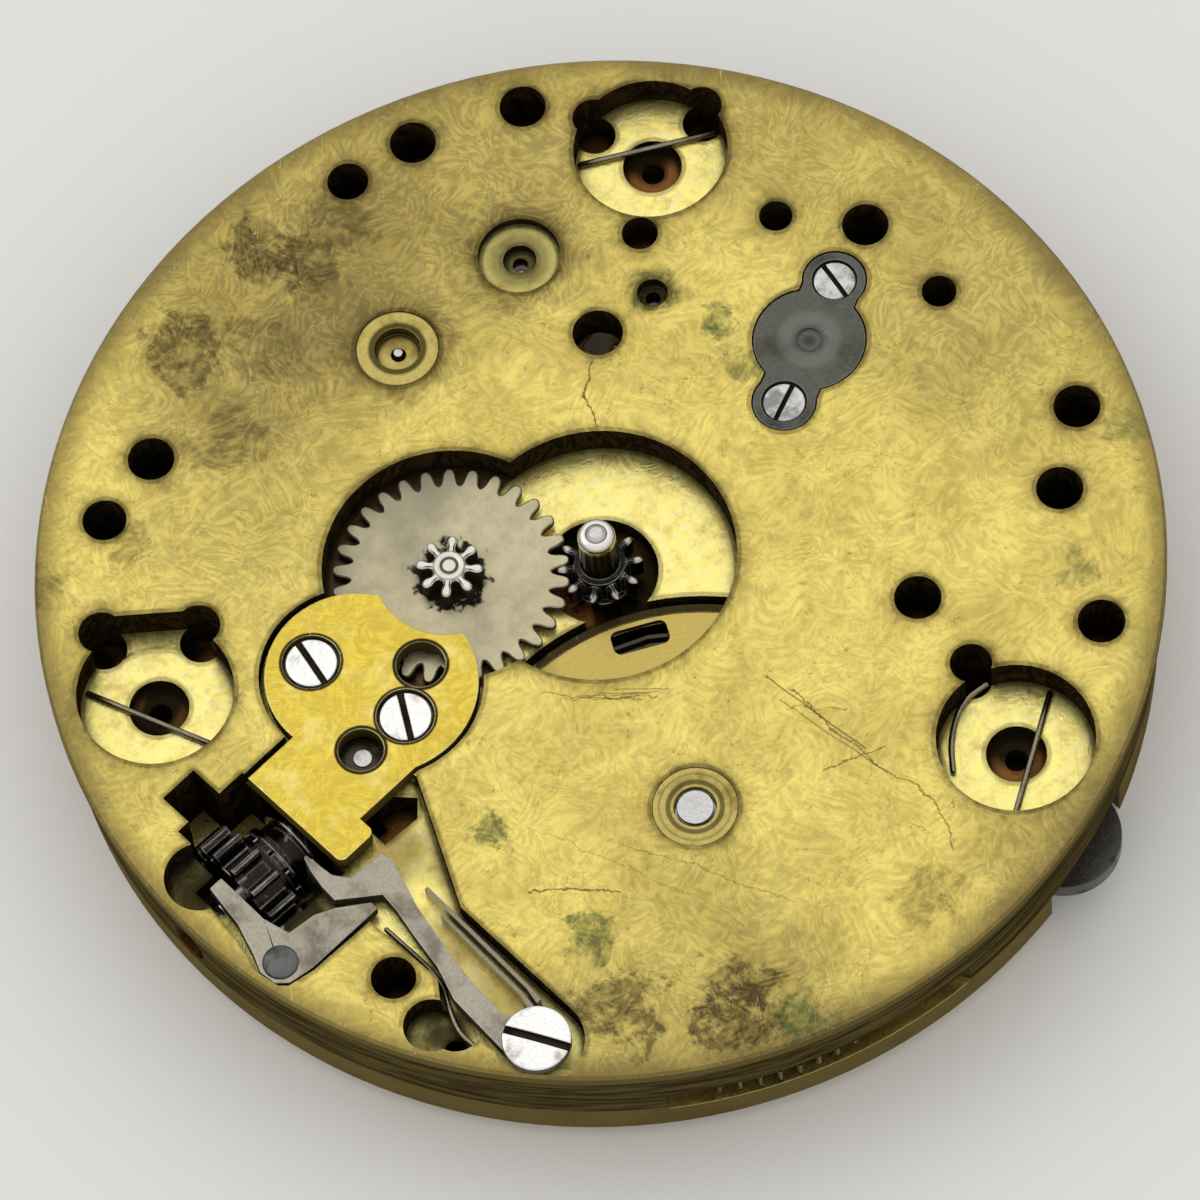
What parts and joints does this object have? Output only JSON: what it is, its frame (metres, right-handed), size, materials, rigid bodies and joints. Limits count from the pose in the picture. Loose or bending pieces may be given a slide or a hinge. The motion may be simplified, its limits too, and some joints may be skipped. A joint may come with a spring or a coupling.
{
  "type": "watch movement",
  "caption": "Round stem-wound pocket watch movement, dial side up, with gilt plate, motion work, keyless work, barrel, gear train, lever escapement and balance.",
  "frame": {"origin": "on the axis of the hands, at the level of the surface the movement lies on, under the balance cock", "axes": "+X out along the winding stem, +Y towards twelve o'clock, +Z out of the dial side"},
  "size_m": [0.043, 0.0432, 0.0084],
  "materials": {
    "gilt": "worn gilding with a brown and green patina",
    "gilt_clean": "bright gilding",
    "brass_wheel": "gilt brass, fine grained",
    "steel": "polished steel",
    "steel_warm": "stained steel",
    "steel_screw": "mirror polished screw steel",
    "steel_dark": "satin dark steel",
    "blued": "blued spring steel",
    "ruby": "polished ruby"
  },
  "bodies": {
    "plate": {"main_plate": "gilt", "bushings": "brass_wheel", "jewels": "ruby", "end_cap": "steel_dark", "cap_screws": "steel_screw", "setting_cover": "gilt_clean", "cover_screws": "steel_screw", "wheel_studs": "steel", "crown_core": "steel", "click_screw": "steel_screw", "click_spring": "steel", "yoke_spring": "steel", "spring_screw": "steel_screw", "lever_rivet": "steel", "wire_spring": "steel", "latch_wires": "steel", "hairspring": "blued", "hairspring_stud": "steel", "barrel_bridge": "gilt", "train_bridge": "gilt", "escape_cock": "gilt", "pallet_cock": "gilt", "balance_cock": "gilt", "bridge_screws": "steel_screw", "case_screws": "steel_dark"},
    "barrel": {"barrel_drum": "brass_wheel", "barrel_lid": "brass_wheel", "mainspring": "blued"},
    "ratchet": {"barrel_arbor": "steel", "ratchet_wheel": "steel", "ratchet_screw": "steel_screw"},
    "crown": {"crown_wheel": "steel"},
    "winding": {"winding_pinion": "steel_warm"},
    "stem": {"winding_arbor": "steel"},
    "sleeve": {"clutch": "steel_warm"},
    "yoke_arm": {"yoke": "steel"},
    "lever": {"setting_lever": "steel"},
    "pawl": {"click": "steel"},
    "centre": {"centre_arbor": "steel", "centre_wheel": "brass_wheel", "cannon_pinion": "steel_warm"},
    "third": {"third_wheel": "brass_wheel", "third_arbor": "steel"},
    "fourth": {"fourth_wheel": "brass_wheel", "fourth_arbor": "steel"},
    "escape": {"escape_wheel": "brass_wheel", "escape_arbor": "steel"},
    "minute": {"minute_wheel": "steel_warm"},
    "set_in": {"setting_wheel_inner": "steel"},
    "set_out": {"setting_wheel_outer": "steel"},
    "pallet": {"pallet_fork": "steel", "pallet_stones": "ruby", "pallet_arbor": "steel"},
    "balance": {"balance_wheel": "brass_wheel", "balance_screws": "brass_wheel", "balance_staff": "steel", "roller": "steel", "impulse_pin": "ruby", "collet": "brass_wheel"},
    "index": {"regulator": "steel"}
  },
  "joints": [
    {"name": "fourth_turn", "type": "hinge", "parent": "plate", "child": "fourth", "pos_m": [-0.00048, -0.01189, 0.00315], "axis": [0, 0, 1], "continuous": true},
    {"name": "third_turn", "type": "hinge", "parent": "plate", "child": "third", "pos_m": [0.0055, -0.0075, 0.00385], "axis": [0, 0, 1], "continuous": true},
    {"name": "centre_turn", "type": "hinge", "parent": "plate", "child": "centre", "pos_m": [0, 0, 0.00245], "axis": [0, 0, 1], "continuous": true},
    {"name": "barrel_turn", "type": "hinge", "parent": "plate", "child": "barrel", "pos_m": [0.00457, 0.0102, 0.00355], "axis": [0, 0, 1], "continuous": true},
    {"name": "escape_turn", "type": "hinge", "parent": "plate", "child": "escape", "pos_m": [-0.00655, -0.01156, 0.00435], "axis": [0, 0, 1], "continuous": true},
    {"name": "minute_turn", "type": "hinge", "parent": "plate", "child": "minute", "pos_m": [0.00435, -0.00368, 0.00545], "axis": [0, 0, 1], "continuous": true},
    {"name": "set_inner_turn", "type": "hinge", "parent": "plate", "child": "set_in", "pos_m": [0.00988, -0.00232, 0.00545], "axis": [0, 0, 1], "continuous": true},
    {"name": "set_outer_turn", "type": "hinge", "parent": "plate", "child": "set_out", "pos_m": [0.01192, -0.00033, 0.00545], "axis": [0, 0, 1], "continuous": true},
    {"name": "ratchet_turn", "type": "hinge", "parent": "plate", "child": "ratchet", "pos_m": [0.00457, 0.0102, 0.00135], "axis": [0, 0, 1], "continuous": true},
    {"name": "crown_turn", "type": "hinge", "parent": "plate", "child": "crown", "pos_m": [0.0122, 0, 0.00135], "axis": [0, 0, 1], "continuous": true},
    {"name": "winding_pinion_turn", "type": "hinge", "parent": "plate", "child": "winding", "pos_m": [0.018, 0, 0.0039], "axis": [1, 0, 0], "continuous": true},
    {"name": "stem_turn", "type": "hinge", "parent": "plate", "child": "stem", "pos_m": [0.018, 0, 0.0039], "axis": [1, 0, 0], "continuous": true},
    {"name": "clutch_slide", "type": "slide", "parent": "stem", "child": "sleeve", "axis": [-1, 0, 0], "range_m": [0, 0.0006]},
    {"name": "lever_swing", "type": "hinge", "parent": "plate", "child": "lever", "pos_m": [0.01987, 0.00395, 0.0061], "axis": [0, 0, 1], "range_deg": [0, 4.4]},
    {"name": "yoke_swing", "type": "hinge", "parent": "plate", "child": "yoke_arm", "pos_m": [0.01525, 0.01304, 0.0061], "axis": [0, 0, 1], "range_deg": [-3.1, 0]},
    {"name": "click_swing", "type": "hinge", "parent": "plate", "child": "pawl", "pos_m": [-0.0041, 0.007, 0.00135], "axis": [0, 0, 1], "range_deg": [-12, 0]},
    {"name": "pallet_swing", "type": "hinge", "parent": "plate", "child": "pallet", "pos_m": [-0.0091, -0.00674, 0.0044], "axis": [0, 0, 1], "range_deg": [-6, 6]},
    {"name": "balance_swing", "type": "hinge", "parent": "plate", "child": "balance", "pos_m": [-0.01201, -0.00104, 0.00185], "axis": [0, 0, 1], "range_deg": [-135, 135], "stiffness_Nm_per_rad": 0.0000032},
    {"name": "regulator_swing", "type": "hinge", "parent": "plate", "child": "index", "pos_m": [-0.01201, -0.00104, 0.00015], "axis": [0, 0, 1], "range_deg": [-20, 20]}
  ],
  "couplings": [
    {"joint": "fourth_turn", "follows": "third_turn", "ratio": -7.5},
    {"joint": "escape_turn", "follows": "third_turn", "ratio": 75},
    {"joint": "centre_turn", "follows": "third_turn", "ratio": -0.125},
    {"joint": "barrel_turn", "follows": "third_turn", "ratio": 0.01875},
    {"joint": "minute_turn", "follows": "third_turn", "ratio": 0.041667},
    {"joint": "set_inner_turn", "follows": "third_turn", "ratio": -0.125},
    {"joint": "set_outer_turn", "follows": "third_turn", "ratio": 0.125},
    {"joint": "crown_turn", "follows": "ratchet_turn", "ratio": -1.2647},
    {"joint": "winding_pinion_turn", "follows": "ratchet_turn", "ratio": -3.0714},
    {"joint": "stem_turn", "follows": "ratchet_turn", "ratio": -3.0714},
    {"joint": "lever_swing", "follows": "clutch_slide", "rad_per_m": 127.5},
    {"joint": "yoke_swing", "follows": "clutch_slide", "rad_per_m": -87.5}
  ]
}
